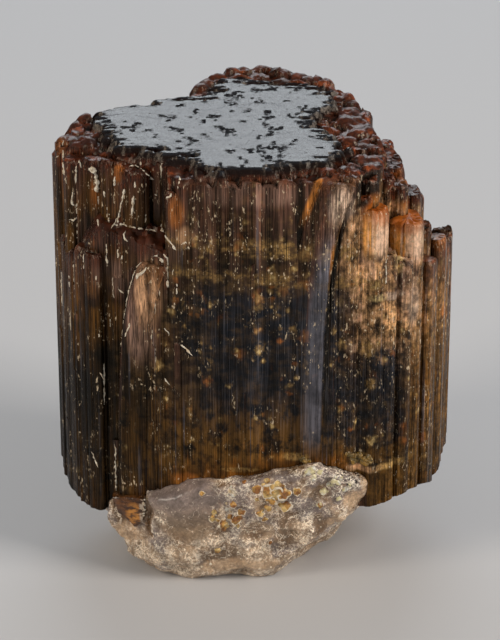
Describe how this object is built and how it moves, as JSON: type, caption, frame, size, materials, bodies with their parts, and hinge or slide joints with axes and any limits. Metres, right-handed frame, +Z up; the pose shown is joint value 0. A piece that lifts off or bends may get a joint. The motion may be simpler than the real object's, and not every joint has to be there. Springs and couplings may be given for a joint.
{
  "type": "tourmaline crystal specimen on quartz",
  "caption": "Blocky brown elbaite tourmaline crystal with a flat bright end and ribbed sides, standing on the knob of smoky quartz that it grew from.",
  "frame": {"origin": "on the quartz's flat foot, under the middle of the crystal", "axes": "+Z up along the crystal's long axis, main face towards -Y"},
  "size_m": [0.0596, 0.0488, 0.0657],
  "materials": {
    "tourmaline": "glassy, translucent brown with reddish edges",
    "quartz": "broken, frosted and translucent, iron-stained in places"
  },
  "bodies": {
    "root": {"tourmaline_crystal": "tourmaline", "quartz_matrix": "quartz"}
  },
  "joints": []
}
